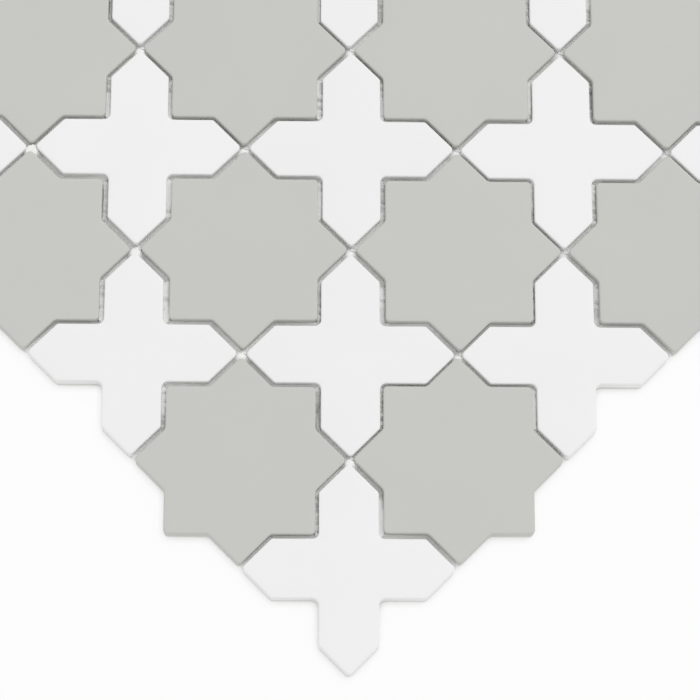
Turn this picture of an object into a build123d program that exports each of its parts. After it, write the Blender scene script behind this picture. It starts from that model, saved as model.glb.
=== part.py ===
"""Mosaic sheet of eight-point star tiles and pointed cross tiles, laid in turn on a backing net."""

import os
from math import floor, sqrt
from random import Random

from build123d import *

os.makedirs("parts", exist_ok=True)

# The sheet, in millimetres
sheet_module = 304.8  # distance from one laid sheet to the next
tiles_a_side = 6
joint_width = 1.4
placing_slip = 0.45  # the most that a tile set by hand sits off its place, each way
slip_seed = 367352  # which of the many sets of chance slips this sheet has

# The tiles
tile_thickness = 6.0
edge_ease = 0.5  # softened edge round the glazed face
tip_blunt = 0.85  # taken off both sides of each point of a star or a cross
crook_radius = 2.0  # inner corners of the crosses

# The backing net, two layers of flat threads
thread_pitch = 5.0
thread_width = 0.8
thread_thickness = 0.25
net_setback = 1.5  # cover of the threads' ends in the crooks along the sheet's edge

# Sizes that follow
tile_pitch = sheet_module / tiles_a_side
square_side = tile_pitch - joint_width
arm_width = tile_pitch * (sqrt(2) - 1) - joint_width
arm_length = 2 * tile_pitch
first_tile = (1 - tiles_a_side) * tile_pitch / 2
net_half = arm_width / sqrt(2) - first_tile - net_setback
threads_a_side = 2 * floor(net_half / thread_pitch) + 1
tile_back = Plane.XY.offset(2 * thread_thickness)

# Star tile: two equal squares, one turned by an eighth of a turn
with BuildPart() as star:
    with BuildSketch(tile_back):
        Rectangle(square_side, square_side)
        Rectangle(square_side, square_side, rotation=45)
        chamfer(vertices().group_by(SortBy.DISTANCE)[-1], tip_blunt)
    extrude(amount=tile_thickness)
    chamfer(faces().sort_by(Axis.Z)[-1].edges(), edge_ease)

# Cross tile: two bars on the diagonals, pointed by the square that they lie in
with BuildPart() as cross:
    with BuildSketch(tile_back):
        Rectangle(arm_length, arm_width, rotation=45)
        Rectangle(arm_length, arm_width, rotation=-45)
        Rectangle(square_side, square_side, mode=Mode.INTERSECT)
        chamfer(vertices().group_by(SortBy.DISTANCE)[-1], tip_blunt)
        fillet(vertices().group_by(SortBy.DISTANCE)[0], crook_radius)
    extrude(amount=tile_thickness)
    chamfer(faces().sort_by(Axis.Z)[-1].edges(), edge_ease)

# How far each tile sits off its place: opposite tiles slip opposite ways, which keeps the sheet centred
chance = Random(slip_seed)
slips = {}
for row in range(tiles_a_side):
    for column in range(tiles_a_side):
        opposite = (tiles_a_side - 1 - row, tiles_a_side - 1 - column)
        if opposite in slips:
            slips[row, column] = -slips[opposite]
        else:
            slips[row, column] = Vector(chance.uniform(-1, 1), chance.uniform(-1, 1)) * placing_slip

# The laid sheet: a cross in the first corner, then star and cross in turn, each with its own slip
for row in range(tiles_a_side):
    for column in range(tiles_a_side):
        place = Vector(first_tile + column * tile_pitch, first_tile + row * tile_pitch)
        kind, form = ("star", star) if (row + column) % 2 else ("cross", cross)
        tile = form.part.moved(Location(place + slips[row, column]))
        tile.label = f"{kind}_tile_r{row + 1}_c{column + 1}"
        export_step(tile, f"parts/{tile.label}.step")

# Weft of the net: the threads that lie lowest
with BuildPart() as weft:
    with BuildSketch():
        with GridLocations(0, thread_pitch, 1, threads_a_side):
            Rectangle(2 * net_half, thread_width)
    extrude(amount=thread_thickness)
weft.part.label = "net_weft_threads"
export_step(weft.part, "parts/net_weft_threads.step")

# Warp of the net: laid across the weft, and glued to the backs of the tiles
with BuildPart() as warp:
    with BuildSketch(Plane.XY.offset(thread_thickness)):
        with GridLocations(thread_pitch, 0, threads_a_side, 1):
            Rectangle(thread_width, 2 * net_half)
    extrude(amount=thread_thickness)
warp.part.label = "net_warp_threads"
export_step(warp.part, "parts/net_warp_threads.step")
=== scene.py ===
import math
import random

import bmesh
import bpy
from mathutils import Matrix, Vector, noise


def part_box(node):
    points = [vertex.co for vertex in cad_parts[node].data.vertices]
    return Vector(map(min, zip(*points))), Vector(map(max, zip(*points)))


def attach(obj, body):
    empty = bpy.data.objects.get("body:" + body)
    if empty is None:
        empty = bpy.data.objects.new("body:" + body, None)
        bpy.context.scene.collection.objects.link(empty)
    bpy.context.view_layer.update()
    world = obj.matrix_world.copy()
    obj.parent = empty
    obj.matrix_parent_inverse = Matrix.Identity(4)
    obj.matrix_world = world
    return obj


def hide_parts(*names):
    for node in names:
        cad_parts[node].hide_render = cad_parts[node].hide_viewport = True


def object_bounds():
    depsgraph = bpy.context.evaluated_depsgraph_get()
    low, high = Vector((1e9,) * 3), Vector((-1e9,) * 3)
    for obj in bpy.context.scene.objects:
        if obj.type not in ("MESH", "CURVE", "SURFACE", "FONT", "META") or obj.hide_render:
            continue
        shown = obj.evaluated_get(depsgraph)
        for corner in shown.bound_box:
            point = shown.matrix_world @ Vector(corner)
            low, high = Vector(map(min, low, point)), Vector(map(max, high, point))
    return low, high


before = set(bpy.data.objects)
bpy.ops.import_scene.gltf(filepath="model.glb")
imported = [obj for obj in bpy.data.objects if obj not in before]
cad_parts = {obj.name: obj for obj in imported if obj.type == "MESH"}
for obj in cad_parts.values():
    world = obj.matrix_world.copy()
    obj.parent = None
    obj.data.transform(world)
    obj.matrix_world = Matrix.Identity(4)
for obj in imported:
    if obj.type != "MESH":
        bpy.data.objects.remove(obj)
cad_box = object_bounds()

# Tiles, in metres: how round their corners are, and in how many steps
TILE_PITCH = 0.0508
TIP_ROUND = 0.0015
TIP_STEPS = 6
NOTCH_ROUND = 0.0020
NOTCH_STEPS = 5
SHOULDER_ROUND = 0.0012
SHOULDER_STEPS = 3
CROOK_ROUND = 0.0021
CROOK_STEPS = 6
EDGE_ROUND = 0.0005
EDGE_STEPS = 5
SHARP_ANGLE = math.radians(70)

# The fall of a tile's face towards its edges, and the lines inside them along which it is cut to bend
DOME_DEPTH = 0.00014
DOME_REACH = 0.0034
DOME_CUTS = (0.0007, 0.0012, 0.0019, 0.0034)
CUT_NEARNESS = 1e-7

# How much of a face's normal points up: more than this on a level face, less than this on a wall
LEVEL_LEAST = 0.9999
WALL_MOST = 0.5

# Backing net
THREAD_PITCH = 0.005
THREAD_WIDTH = 0.0008
THREAD_DEPTH = 0.00022
THREAD_SIDES = 6
THREAD_STEPS = 4
WEAVE_RISE = 0.00013

# Glue in the joints: its grid, how far it reaches into the tiles, and its bed above their backs
GLUE_STEPS = (4, 24, 32, 32, 24, 4)
GLUE_STEPS_ACROSS = 4
GLUE_SEAT = 0.0002
GLUE_TIP_SEAT = 0.0008
GLUE_BED = GLUE_SEAT / 4

# The top of that glue above the tiles' backs: its level, lower in joints along Y, its swell and its limits
GLUE_LEVEL = 0.0026
GLUE_FULL = 0.0039
GLUE_THIN = 0.0004
GLUE_SWELL = 0.0030
GLUE_SWELL_SIZE = 0.013
GLUE_LEAST = 0.0006
GLUE_MOST = 0.0052

# Joints that run up the picture: more glue, more swell, ridges across them, and a groove along one wall
UPRIGHT_POWER = 8
UPRIGHT_LIFT = 0.0010
UPRIGHT_SWELL = 4
RIDGE_HEIGHT = 0.0018
RIDGE_LENGTH = 0.012
RIDGE_PITCH = 0.0014
GROOVE_DEPTH = 0.0009
GROOVE_POWER = 4
GROOVE_TILT = 0.0005
GROOVE_EASE = 0.4
LEAN_MEAN = 0.5
LEAN_SPREAD = 2.5
LEAN_SIZE = 0.014

# Lumps of glue where four points meet, scarcer towards the right, and the glue's fall at the sheet's edge
LUMP_REACH = 0.0032
LUMP_SAG = 0.0012
LUMP_RISE = 0.0036
LUMP_SPREAD = 0.6
LUMP_SCARCE = 0.16
EDGE_FALL = 0.001

# Dabs of glue between the net and the tiles
DAB_PITCH = 0.015
DAB_SPAN = 2
DAB_SHARE = 0.9
DAB_ROUND = 0.0036
DAB_SMALLEST = 0.8
DAB_LARGEST = 1.1
DAB_DEPTH = 0.00044
DAB_INSET = 0.0052
DAB_WAVER = 0.35
DAB_WAVER_TURNS = 1.3
DAB_STEPS_ROUND = 16
DAB_STEPS_DOWN = 5

# Colours, linear
STAR_GLAZE = (0.565, 0.571, 0.538)
CROSS_GLAZE = (0.862, 0.862, 0.862)
FIRED_BODY = (0.72, 0.71, 0.68)
NET_WHITE = (0.80, 0.80, 0.78)
GLUE_WHITE = (0.87, 0.87, 0.86)
FLOOR_WHITE = (0.98, 0.98, 0.98)

# The glaze's lower edge, how much one tile's firing differs from another's, and the seed of all chance
GLAZE_RUN = 0.0044
GLAZE_FADE = 0.0006
FIRING_SPREAD = 0.008
CHANCE_SEED = 7

# Roughness, gloss and depth of relief
GLAZE_ROUGHNESS = 0.56
GLAZE_GLOSS = 0.35
GLAZE_RELIEF = 0.00002
BODY_ROUGHNESS = 0.92
THREAD_ROUGHNESS = 0.62
THREAD_RELIEF = 0.00004
GLUE_ROUGHNESS = 0.46
GLUE_RELIEF = 0.00005

# Unevenness of the finishes: size of its features in metres, its amount, and detail where it is less
GLAZE_WAVER = (0.006, 0.0012)
GLAZE_CLOUDS = (0.03, 0.03)
GLAZE_SPECKS = (0.0005, 0.03, 1.0)
GLAZE_PATCHES = (0.008, 0.12)
GLAZE_RIPPLES = (0.0016, 0.5, 1.0)
GLAZE_SKIN = (0.00035, 0.35)
BODY_CLOUDS = (0.004, 0.12)
BODY_SPECKS = (0.0003, 0.10)
BODY_PORES = (0.0004, 4.0)
THREAD_CLOUDS = (0.002, 0.10)
THREAD_SPECKS = (0.0002, 0.14)
THREAD_PATCHES = (0.001, 0.2)
THREAD_STRANDS = (0.00015, 1.0)
GLUE_CLOUDS = (0.0022, 0.10)
GLUE_SPECKS = (0.0004, 0.03)
GLUE_PATCHES = (0.002, 0.2)
GLUE_BUMPS = (0.0008, 1.0)

# Sockets of a Mix node that mixes colours: its share, the colours below and above, and its result
MIX_SHARE = 0
MIX_BELOW = 6
MIX_ABOVE = 7
MIX_RESULT = 2

# Light, as shares of a level at which a colour renders as it is written
DOME_SHARE = 0.84
KEY_SHARE = 0.16
KEY_ELEVATION = 48
KEY_BEARING = 38
KEY_WIDTH = 50

# The floor, which shows as white with a soft shadow close to the sheet
FLOOR_REACH = 4
FLOOR_GAP = 0.00005
FLOOR_GLOW = 0.95
SHADOW_REACH = 0.0026
SHADOW_DEPTH = 0.95
SHADOW_SAMPLES = 16

# The camera, as the photograph shows the sheet: turned on its corner, seen steeply from the front
PICTURE_PIXELS = 700
FOCAL_PIXELS = 2420
SENSOR_WIDTH = 36
NEAREST_SEEN = 0.01
CAMERA_DISTANCE = 0.8026
CAMERA_TURN = -5.81
CAMERA_ELEVATION = 74.96
CAMERA_ROLL = 6.0
AIM_PITCHES = -1.5
AIM_ASIDE = -0.00013
AIM_AWAY = 0.00124

# What follows from the CAD model
nodes = sorted(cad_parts)
star_nodes = [name for name in nodes if name.startswith("star_tile")]
cross_nodes = [name for name in nodes if name.startswith("cross_tile")]
cross_low, cross_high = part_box(cross_nodes[0])
tile_back = cross_low.z
tile_face = cross_high.z
half_square = (cross_high.x - cross_low.x) / 2
joint = TILE_PITCH - 2 * half_square
half_arm = (TILE_PITCH * (math.sqrt(2) - 1) - joint) / 2
tip_reach = half_square * math.sqrt(2)
nearness = joint / 100
picture_right = Vector((1, -1, 0)).normalized()
picture_away = Vector((1, 1, 0)).normalized()
chance = random.Random(CHANCE_SEED)


class Value:
    """One output of a material's nodes. Sums and products of values add Math nodes beside it."""

    def __init__(self, socket):
        self.socket = socket

    def node(self, kind, settings, inputs, output=0):
        """Adds a node of that kind: its settings first, then the values or links of its inputs."""
        tree = self.socket.id_data
        made = tree.nodes.new(kind)
        for name, setting in settings.items():
            setattr(made, name, setting)
        for name, given in inputs.items():
            self.feed(made.inputs[name], given)
        return Value(made.outputs[output])

    def feed(self, socket, given):
        """Links a value to a socket, or sets the socket to a plain number or colour."""
        if isinstance(given, Value):
            self.socket.id_data.links.new(given.socket, socket)
        else:
            socket.default_value = given

    def maths(self, operation, first, second):
        return self.node("ShaderNodeMath", {"operation": operation}, {0: first, 1: second})

    def __add__(self, other):
        return self.maths("ADD", self, other)

    def __sub__(self, other):
        return self.maths("SUBTRACT", self, other)

    def __mul__(self, other):
        return self.maths("MULTIPLY", self, other)

    def __rsub__(self, other):
        return self.maths("SUBTRACT", other, self)

    __radd__ = __add__
    __rmul__ = __mul__


def new_finish(name):
    """A material with its shader and the place on the object that its patterns read."""
    material = bpy.data.materials.new(name)
    material.use_nodes = True
    tree = material.node_tree
    place = Value(tree.nodes.new("ShaderNodeTexCoord").outputs["Object"])
    return material, tree.nodes["Principled BSDF"], place


def grain(place, size, amount, detail=2.0):
    """Even noise about zero, with features of that size in metres."""
    found = place.node("ShaderNodeTexNoise", {}, {"Vector": place, "Scale": 1 / size, "Detail": detail})
    return amount * (found - 0.5)


def mix_colours(share, below, above):
    """One colour over another, by a share from 0 to 1."""
    settings = {"data_type": "RGBA", "blend_type": "MIX"}
    inputs = {MIX_SHARE: share, MIX_BELOW: below, MIX_ABOVE: above}
    return share.node("ShaderNodeMix", settings, inputs, MIX_RESULT)


def tinted(colour, tone):
    """A colour made lighter or darker by a tone about 1."""
    settings = {"data_type": "RGBA", "blend_type": "MULTIPLY"}
    inputs = {MIX_SHARE: 1.0, MIX_BELOW: (*colour, 1), MIX_ABOVE: tone}
    return tone.node("ShaderNodeMix", settings, inputs, MIX_RESULT)


def relief(place, height, depth):
    """A bump of that depth in metres from a height of about one."""
    return place.node("ShaderNodeBump", {}, {"Strength": 1.0, "Distance": depth, "Height": height})


def glazed_finish(name, glaze_colour):
    """Matt glaze over the face and most of the way down the walls, and bare fired body below."""
    material, shader, place = new_finish(name)
    height = place.node("ShaderNodeSeparateXYZ", {}, {"Vector": place}, "Z")
    line = tile_face - GLAZE_RUN + grain(place, *GLAZE_WAVER)
    soft = {"From Min": -GLAZE_FADE, "From Max": GLAZE_FADE}
    glazed = place.node(
        "ShaderNodeMapRange", {"interpolation_type": "SMOOTHSTEP"}, {"Value": height - line, **soft}
    )
    firing = place.node("ShaderNodeAttribute", {"attribute_name": "firing"}, {}, "Fac")
    tone = 1 + firing + grain(place, *GLAZE_CLOUDS) + grain(place, *GLAZE_SPECKS)
    body_tone = 1 + grain(place, *BODY_CLOUDS) + grain(place, *BODY_SPECKS)
    colour = mix_colours(glazed, tinted(FIRED_BODY, body_tone), tinted(glaze_colour, tone))
    place.feed(shader.inputs["Base Color"], colour)
    glaze_roughness = GLAZE_ROUGHNESS + grain(place, *GLAZE_PATCHES)
    roughness = glazed * glaze_roughness + (1 - glazed) * BODY_ROUGHNESS
    place.feed(shader.inputs["Roughness"], roughness)
    skin = grain(place, *GLAZE_RIPPLES) + grain(place, *GLAZE_SKIN)
    pores = grain(place, *BODY_PORES)
    surface = relief(place, glazed * skin + (1 - glazed) * pores, GLAZE_RELIEF)
    place.feed(shader.inputs["Normal"], surface)
    shader.inputs["Specular IOR Level"].default_value = GLAZE_GLOSS
    return material


def thread_finish():
    """White glass-fibre thread under its coating, with the fine lines of its strands."""
    material, shader, place = new_finish("net thread white")
    tone = 1 + grain(place, *THREAD_CLOUDS) + grain(place, *THREAD_SPECKS)
    place.feed(shader.inputs["Base Color"], tinted(NET_WHITE, tone))
    place.feed(shader.inputs["Roughness"], THREAD_ROUGHNESS + grain(place, *THREAD_PATCHES))
    place.feed(shader.inputs["Normal"], relief(place, grain(place, *THREAD_STRANDS), THREAD_RELIEF))
    return material


def glue_finish():
    """Dried white glue, a little shiny and uneven."""
    material, shader, place = new_finish("dried white glue")
    tone = 1 + grain(place, *GLUE_CLOUDS) + grain(place, *GLUE_SPECKS)
    place.feed(shader.inputs["Base Color"], tinted(GLUE_WHITE, tone))
    place.feed(shader.inputs["Roughness"], GLUE_ROUGHNESS + grain(place, *GLUE_PATCHES))
    place.feed(shader.inputs["Normal"], relief(place, grain(place, *GLUE_BUMPS), GLUE_RELIEF))
    return material


def finished(bm, name, material, replaced=()):
    """A shaped mesh as a piece of the object, in place, with its finish."""
    mesh = bpy.data.meshes.new(name)
    bm.to_mesh(mesh)
    bm.free()
    mesh.shade_smooth()
    mesh.set_sharp_from_angle(angle=SHARP_ANGLE)
    mesh.materials.append(material)
    piece = bpy.data.objects.new(name, mesh)
    bpy.context.scene.collection.objects.link(piece)
    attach(piece, "root")
    if replaced:
        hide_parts(*replaced)
    return piece


def outline_face(bm, point, repeats, turn):
    """One point of a tile's outline, repeated round a full turn and filled."""
    verts = [bm.verts.new((x, y, tile_back)) for x, y in point]
    edges = [bm.edges.new(pair) for pair in zip(verts, verts[1:])]
    around = {"cent": (0, 0, 0), "axis": (0, 0, 1)}
    step = 2 * math.pi / repeats
    bmesh.ops.spin(
        bm, geom=verts + edges, **around, angle=step * (repeats - 1), steps=repeats - 1, use_duplicate=True
    )
    bmesh.ops.rotate(bm, verts=bm.verts, cent=(0, 0, 0), matrix=Matrix.Rotation(turn, 3, "Z"))
    bmesh.ops.remove_doubles(bm, verts=bm.verts, dist=nearness)
    bmesh.ops.contextual_create(bm, geom=bm.edges)


def round_corners(bm, reach, width, steps):
    """Rounds the upright edges that stand at that distance from the tile's middle."""
    upright = [
        edge
        for edge in bm.edges
        if abs(edge.verts[0].co.z - edge.verts[1].co.z) > joint
        and abs(edge.verts[0].co.to_2d().length - reach) < nearness
    ]
    bevel(bm, upright, width, steps)


def bevel(bm, edges, width, steps):
    bmesh.ops.bevel(
        bm,
        geom=edges,
        offset=width,
        offset_type="OFFSET",
        segments=steps,
        profile=0.5,
        affect="EDGES",
        material=-1,
        clamp_overlap=False,
    )


def ease_face(bm):
    """Rounds the edge between the face and the walls."""
    rim = [
        edge
        for edge in bm.edges
        if min(vert.co.z for vert in edge.verts) > tile_face - nearness
        and min(abs(face.normal.z) for face in edge.link_faces) < WALL_MOST
    ]
    bevel(bm, rim, EDGE_ROUND, EDGE_STEPS)


def dome_face(bm, side_reach, diagonal_reach, depth_inside):
    """Lets the face fall away gently towards its edges, as glaze does."""
    for eighth in range(8):
        angle = eighth * math.pi / 4
        outward = Vector((math.cos(angle), math.sin(angle), 0))
        reach = diagonal_reach if eighth % 2 else side_reach
        for cut in DOME_CUTS:
            cut_face(bm, outward * (reach - cut), outward)
    for vert in bm.verts:
        if vert.co.z > tile_back:
            inside = min(1, max(0, depth_inside(vert.co) / DOME_REACH))
            vert.co.z -= DOME_DEPTH * (1 - inside) ** 2


def cut_face(bm, at, outward):
    """Cuts the level face along one line."""
    cap = [face for face in bm.faces if face.normal.z > LEVEL_LEAST and face.verts[0].co.z > tile_back]
    edges = list({edge for face in cap for edge in face.edges})
    verts = list({vert for face in cap for vert in face.verts})
    bmesh.ops.bisect_plane(
        bm, geom=cap + edges + verts, dist=CUT_NEARNESS, plane_co=at, plane_no=outward
    )


def square_depth(x, y, reach):
    return reach - max(abs(x), abs(y))


def star_depth(at):
    """How far inside the star's outline a point lies."""
    across = (at.x + at.y) / math.sqrt(2)
    along = (at.x - at.y) / math.sqrt(2)
    return max(square_depth(at.x, at.y, half_square), square_depth(across, along, half_square))


def cross_depth(at):
    """How far inside the cross's outline a point lies."""
    across = (at.x + at.y) / math.sqrt(2)
    along = (at.x - at.y) / math.sqrt(2)
    return min(square_depth(at.x, at.y, half_square), half_arm - min(abs(across), abs(along)))


def press(bm):
    """The outline made as thick as the tile."""
    lifted = bmesh.ops.extrude_face_region(bm, geom=bm.faces[:])["geom"]
    raised = [part for part in lifted if isinstance(part, bmesh.types.BMVert)]
    bmesh.ops.translate(bm, verts=raised, vec=(0, 0, tile_face - tile_back))
    bmesh.ops.recalc_face_normals(bm, faces=bm.faces)


def star_form():
    """An eight-point star tile with its middle at the origin."""
    bm = bmesh.new()
    notch_reach = half_square / math.cos(math.pi / 8)
    notch_side = half_square * math.tan(math.pi / 8)
    point = [(half_square, -notch_side), (tip_reach, 0), (half_square, notch_side)]
    outline_face(bm, point, 8, 0)
    press(bm)
    round_corners(bm, tip_reach, TIP_ROUND, TIP_STEPS)
    round_corners(bm, notch_reach, NOTCH_ROUND * math.tan(math.pi / 8), NOTCH_STEPS)
    ease_face(bm)
    dome_face(bm, half_square, half_square, star_depth)
    return bm


def cross_form():
    """A pointed cross tile with its middle at the origin, its arms on the diagonals."""
    bm = bmesh.new()
    shoulder = tip_reach - half_arm
    shoulder_reach = math.hypot(shoulder, half_arm)
    crook_reach = half_arm * math.sqrt(2)
    arm = [
        (half_arm, -half_arm),
        (shoulder, -half_arm),
        (tip_reach, 0),
        (shoulder, half_arm),
        (half_arm, half_arm),
    ]
    outline_face(bm, arm, 4, math.pi / 4)
    press(bm)
    round_corners(bm, tip_reach, TIP_ROUND, TIP_STEPS)
    round_corners(bm, shoulder_reach, SHOULDER_ROUND * math.tan(math.pi / 8), SHOULDER_STEPS)
    round_corners(bm, crook_reach, CROOK_ROUND, CROOK_STEPS)
    ease_face(bm)
    dome_face(bm, half_square, half_arm, cross_depth)
    return bm


def middle(node):
    low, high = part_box(node)
    return (low + high) / 2


def lay_tiles(form, names, kind, material):
    """A tile of that form on the place of each node."""
    for name in names:
        bm = form.copy()
        centre = middle(name)
        bmesh.ops.translate(bm, verts=bm.verts, vec=(centre.x, centre.y, 0))
        tile = finished(bm, name.replace(kind, "glazed_" + kind), material, [name])
        firing = tile.data.attributes.new("firing", "FLOAT", "POINT")
        tone = chance.uniform(-FIRING_SPREAD, FIRING_SPREAD)
        firing.data.foreach_set("value", [tone] * len(tile.data.vertices))
    form.free()


def straight_thread(length, along, steps):
    """A flat thread with its middle at the origin: a grid, rolled up and closed at its ends."""
    thread = bmesh.new()
    bmesh.ops.create_grid(thread, x_segments=steps, y_segments=THREAD_SIDES, size=0.5)
    for vert in thread.verts:
        place = vert.co.x * length
        angle = vert.co.y * 2 * math.pi
        vert.co[along] = place
        vert.co[1 - along] = THREAD_WIDTH / 2 * math.cos(angle)
        vert.co.z = THREAD_DEPTH / 2 * math.sin(angle)
    bmesh.ops.remove_doubles(thread, verts=thread.verts, dist=THREAD_DEPTH / 100)
    bmesh.ops.holes_fill(thread, edges=thread.edges, sides=THREAD_SIDES)
    bmesh.ops.recalc_face_normals(thread, faces=thread.faces)
    return thread


def net_layer(node, name, along, rise, material):
    """One layer of the net's threads, woven over and under those of the other."""
    low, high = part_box(node)
    length = high[along] - low[along]
    across = 1 - along
    count = round((high[across] - low[across] - THREAD_WIDTH) / THREAD_PITCH) + 1
    thread = straight_thread(length, along, THREAD_STEPS * count)
    layer = bmesh.new()
    plain = bpy.data.meshes.new(name + "_thread")
    for row in range(count):
        woven = thread.copy()
        for vert in woven.verts:
            weave = math.cos(math.pi * (vert.co[along] / THREAD_PITCH + row))
            vert.co.z += tile_back / 2 + rise * weave
            vert.co[across] += (row - (count - 1) / 2) * THREAD_PITCH
        woven.to_mesh(plain)
        woven.free()
        layer.from_mesh(plain)
    thread.free()
    bpy.data.meshes.remove(plain)
    finished(layer, name, material, [node])


def joint_sides(cross, star, quarter):
    """The two walls of the joint between a cross and a star beside it, and the points where it ends."""
    turn = Matrix.Rotation(quarter * math.pi / 2, 2)
    towards = turn @ Vector((TILE_PITCH, 0))
    near_wall = half_wall(half_square - GLUE_SEAT, half_arm - GLUE_SEAT)
    far_wall = half_wall(half_square + joint + GLUE_SEAT, half_arm + joint + GLUE_SEAT)
    in_cross_tip = half_square - GLUE_TIP_SEAT
    near_tip = [Vector((half_square - GLUE_SEAT, half_square - joint)), Vector((in_cross_tip, in_cross_tip))]
    far_tip = Vector((half_square + joint + GLUE_TIP_SEAT, in_cross_tip))
    near = [cross + turn @ place for place in both_ways([*near_wall, *near_tip])]
    far = [star - towards + turn @ place for place in both_ways([*far_wall, far_tip])]
    return near, [glue_end(near[0], far[0]), *far, glue_end(near[-1], far[-1])]


def glue_end(cross_tip, star_tip):
    """Where a joint's glue ends: where four points meet, or between two points at the sheet's edge."""
    between = (cross_tip + star_tip) / 2
    meeting = nearest_meeting(between)
    return meeting if inside_sheet(meeting) else between


def inside_sheet(meeting):
    return max(abs(meeting.x), abs(meeting.y)) < cad_box[1].y - TILE_PITCH / 2


def half_wall(reach, arm):
    """Half a quarter of a cross's outline, from the crook to a shoulder, with sides at those distances."""
    crook = arm * math.sqrt(2)
    return [Vector((crook, 0)), Vector((reach, reach - crook))]


def both_ways(half):
    """A line from its middle outwards, with its mirror image before it."""
    return [Vector((place.x, -place.y)) for place in half[:0:-1]] + half


def nearest_meeting(place):
    """The place nearby where the points of four tiles meet."""
    return Vector([round(along / TILE_PITCH) * TILE_PITCH for along in place])


def glue_height(at, across, heading):
    """The uneven top of the glue: ridges, grooves along the walls, and lumps where points meet."""
    aside = at.dot(picture_right)
    away = at.dot(picture_away)
    ridge = RIDGE_HEIGHT * noise.noise((aside / RIDGE_LENGTH, away / RIDGE_PITCH, 0))
    upward = heading.to_3d().dot(picture_away)
    upright = upward**UPRIGHT_POWER
    side = (2 * across - 1) * math.copysign(1, upward)
    lean = side * (LEAN_MEAN + LEAN_SPREAD * noise.noise(at / LEAN_SIZE))
    groove = GROOVE_DEPTH * side**GROOVE_POWER * max(0, 1 + lean) + GROOVE_TILT * side
    groove *= 1 if upward < 0 else GROOVE_EASE
    level = GLUE_LEVEL + upright * (UPRIGHT_LIFT + ridge - groove)
    swell = GLUE_SWELL * noise.noise(at / GLUE_SWELL_SIZE)
    level += swell * (1 + (UPRIGHT_SWELL - 1) * upright) / UPRIGHT_SWELL
    level = min(GLUE_FULL, level - GLUE_THIN * heading.y**UPRIGHT_POWER)
    meeting = nearest_meeting(at.to_2d())
    if inside_sheet(meeting):
        lump = (meeting.to_3d() - picture_away * LUMP_SAG - at).length
        size = 1 + LUMP_SPREAD * noise.noise(meeting.to_3d() / joint)
        share = max(0, 1 - aside / LUMP_SCARCE) * size
        level += LUMP_RISE * share * max(0, 1 - lump / LUMP_REACH)
    else:
        level -= EDGE_FALL * max(0, 1 - (meeting.to_3d() - at).length / LUMP_REACH)
    return min(GLUE_MOST, max(GLUE_LEAST, level))


def joint_glue(material):
    """The glue that came up through the net and stands unevenly in the joints."""
    stars = [middle(name).to_2d() for name in star_nodes]
    layer = bmesh.new()
    plain = bpy.data.meshes.new("joint_glue_run")
    for name in cross_nodes:
        cross = middle(name).to_2d()
        for quarter in range(4):
            beside = cross + Matrix.Rotation(quarter * math.pi / 2, 2) @ Vector((TILE_PITCH, 0))
            star = min(stars, key=lambda place: (place - beside).length)
            if (star - beside).length < TILE_PITCH / 2:
                run = glue_run(*joint_sides(cross, star, quarter))
                run.to_mesh(plain)
                run.free()
                layer.from_mesh(plain)
    bpy.data.meshes.remove(plain)
    finished(layer, "joint_glue", material)


def glue_run(near, far):
    """Glue between two walls of a joint, from one point of the cross to the next."""
    bm = bmesh.new()
    columns = [(run, step / steps) for run, steps in enumerate(GLUE_STEPS) for step in range(steps)]
    columns.append((len(GLUE_STEPS) - 1, 1))
    bmesh.ops.create_grid(bm, x_segments=sum(GLUE_STEPS), y_segments=GLUE_STEPS_ACROSS, size=0.5)
    for vert in bm.verts:
        across = vert.co.y + 0.5
        run, along = columns[round((vert.co.x + 0.5) * sum(GLUE_STEPS))]
        near_side = near[run].lerp(near[run + 1], along)
        far_side = far[run].lerp(far[run + 1], along)
        straight = min(max(run, 1), len(GLUE_STEPS) - 2)
        heading = (near[straight + 1] - near[straight]).normalized()
        at = near_side.lerp(far_side, across).to_3d()
        vert.co = at + Vector((0, 0, tile_back + glue_height(at, across, heading)))
    sunk = bmesh.ops.extrude_face_region(bm, geom=bm.faces[:])["geom"]
    for part in sunk:
        if isinstance(part, bmesh.types.BMVert):
            part.co.z = tile_back + GLUE_BED
    bmesh.ops.recalc_face_normals(bm, faces=bm.faces)
    return bm


def net_glue(material):
    """Dabs of glue that hold the net to the backs of the tiles."""
    layer = bmesh.new()
    plain = bpy.data.meshes.new("net_glue_dab")
    net_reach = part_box("net_weft_threads")[1].x - DAB_INSET
    for name in star_nodes + cross_nodes:
        centre = middle(name).to_2d()
        depth_inside = star_depth if name in star_nodes else cross_depth
        crossing = Vector([round(along / THREAD_PITCH) * THREAD_PITCH for along in centre])
        for column in range(-DAB_SPAN, DAB_SPAN + 1):
            for row in range(-DAB_SPAN, DAB_SPAN + 1):
                at = crossing + Vector((column, row)) * DAB_PITCH
                covered = depth_inside(at - centre) > DAB_INSET and max(abs(at.x), abs(at.y)) < net_reach
                if covered and chance.random() < DAB_SHARE:
                    dab = glue_dab(at, DAB_ROUND * chance.uniform(DAB_SMALLEST, DAB_LARGEST))
                    dab.to_mesh(plain)
                    dab.free()
                    layer.from_mesh(plain)
    bpy.data.meshes.remove(plain)
    finished(layer, "net_glue", material)


def glue_dab(at, size):
    """One uneven dab of glue on a crossing of the net, pressed flat."""
    dab = bmesh.new()
    bmesh.ops.create_uvsphere(dab, u_segments=DAB_STEPS_ROUND, v_segments=DAB_STEPS_DOWN, radius=1)
    for vert in dab.verts:
        uneven = noise.noise(vert.co * DAB_WAVER_TURNS + at.to_3d() / joint)
        spread = size * (1 + DAB_WAVER * uneven)
        height = tile_back + DAB_DEPTH * vert.co.z
        vert.co = Vector((at.x + spread * vert.co.x, at.y + spread * vert.co.y, height))
    return dab


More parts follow.
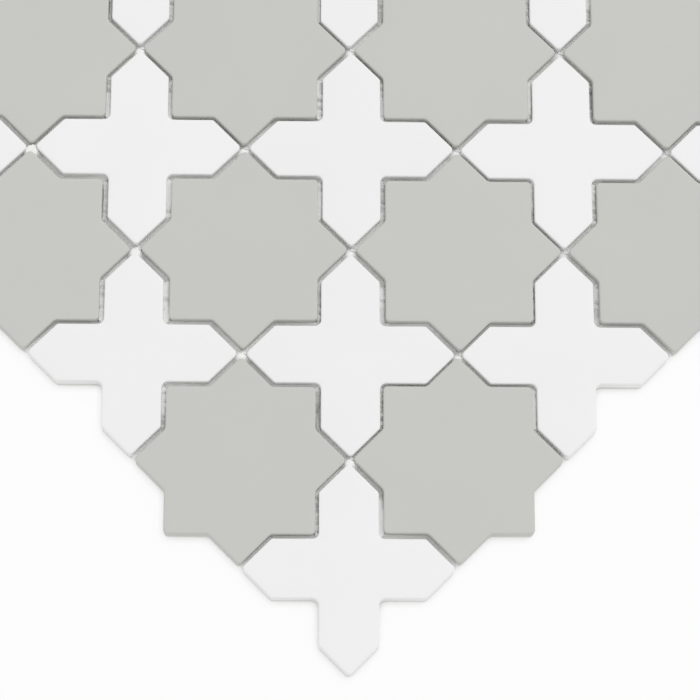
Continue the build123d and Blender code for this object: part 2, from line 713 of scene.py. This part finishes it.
def floor():
    """A plain white floor just under the sheet, with a soft shadow where it is close."""
    bm = bmesh.new()
    bmesh.ops.create_grid(bm, x_segments=1, y_segments=1, size=FLOOR_REACH)
    bmesh.ops.translate(bm, verts=bm.verts, vec=(0, 0, cad_box[0].z - FLOOR_GAP))
    mesh = bpy.data.meshes.new("studio_floor")
    bm.to_mesh(mesh)
    bm.free()
    material, shader, place = new_finish("studio floor white")
    shader.inputs["Base Color"].default_value = (*FLOOR_WHITE, 1)
    shader.inputs["Roughness"].default_value = 1.0
    shader.inputs["Specular IOR Level"].default_value = 0.0
    rays = material.node_tree.nodes.new("ShaderNodeLightPath").outputs
    mirrored = Value(rays["Is Glossy Ray"]) + Value(rays["Is Transmission Ray"])
    seen = Value(rays["Is Camera Ray"]) + mirrored
    glow = place.node("ShaderNodeEmission", {}, {"Color": (*FLOOR_WHITE, 1), "Strength": 1.0})
    paper = Value(shader.outputs["BSDF"])
    openness = place.node(
        "ShaderNodeAmbientOcclusion", {"samples": SHADOW_SAMPLES}, {"Distance": SHADOW_REACH}, "AO"
    )
    lit = seen * (FLOOR_GLOW - SHADOW_DEPTH * (1 - openness))
    shown = place.node("ShaderNodeMixShader", {}, {0: lit, 1: paper, 2: glow})
    place.feed(material.node_tree.nodes["Material Output"].inputs["Surface"], shown)
    mesh.materials.append(material)
    ground = bpy.data.objects.new("studio_floor", mesh)
    bpy.context.scene.collection.objects.link(ground)


def light():
    """An even pale dome, and a broad soft key light from behind on the right."""
    world = bpy.data.worlds.new("pale studio")
    world.use_nodes = True
    world.node_tree.nodes["Background"].inputs["Color"].default_value = (1, 1, 1, 1)
    world.node_tree.nodes["Background"].inputs["Strength"].default_value = DOME_SHARE
    bpy.context.scene.world = world
    key = bpy.data.lights.new("key", "SUN")
    rise = math.radians(KEY_ELEVATION)
    key.energy = KEY_SHARE * math.pi / math.sin(rise)
    key.angle = math.radians(KEY_WIDTH)
    lamp = bpy.data.objects.new("key", key)
    bearing = math.radians(KEY_BEARING)
    towards = picture_right * math.sin(bearing) + picture_away * math.cos(bearing)
    towards = towards * math.cos(rise) + Vector((0, 0, math.sin(rise)))
    lamp.rotation_mode = "QUATERNION"
    lamp.rotation_quaternion = towards.to_track_quat("Z", "Y")
    bpy.context.scene.collection.objects.link(lamp)


def camera():
    """The photograph's view: the sheet's front corner at the bottom of the picture."""
    lens = bpy.data.cameras.new("camera")
    lens.sensor_width = SENSOR_WIDTH
    lens.lens = FOCAL_PIXELS / PICTURE_PIXELS * lens.sensor_width
    lens.clip_start = NEAREST_SEEN
    turn, rise, roll = (math.radians(a) for a in (CAMERA_TURN, CAMERA_ELEVATION, CAMERA_ROLL))
    back = picture_right * math.sin(turn) - picture_away * math.cos(turn)
    back = back * math.cos(rise) + Vector((0, 0, math.sin(rise)))
    level = Vector((0, 0, 1)).cross(back).normalized()
    upward = back.cross(level)
    right = level * math.cos(roll) + upward * math.sin(roll)
    upward = back.cross(right)
    second_cross = Vector((AIM_PITCHES * TILE_PITCH, AIM_PITCHES * TILE_PITCH, tile_face))
    aim = second_cross + picture_right * AIM_ASIDE + picture_away * AIM_AWAY
    eye = bpy.data.objects.new("camera", lens)
    place = Matrix((right, upward, back)).transposed().to_4x4()
    place.translation = aim + back * CAMERA_DISTANCE
    eye.matrix_world = place
    bpy.context.scene.collection.objects.link(eye)
    bpy.context.scene.camera = eye


star_finish = glazed_finish("matt warm grey glaze", STAR_GLAZE)
cross_finish = glazed_finish("matt white glaze", CROSS_GLAZE)
lay_tiles(star_form(), star_nodes, "star", star_finish)
lay_tiles(cross_form(), cross_nodes, "cross", cross_finish)
thread_white = thread_finish()
net_layer("net_weft_threads", "woven_weft", 0, -WEAVE_RISE, thread_white)
net_layer("net_warp_threads", "woven_warp", 1, WEAVE_RISE, thread_white)
glue_white = glue_finish()
joint_glue(glue_white)
net_glue(glue_white)
floor()
light()
camera()
bpy.context.scene.view_settings.view_transform = "Standard"
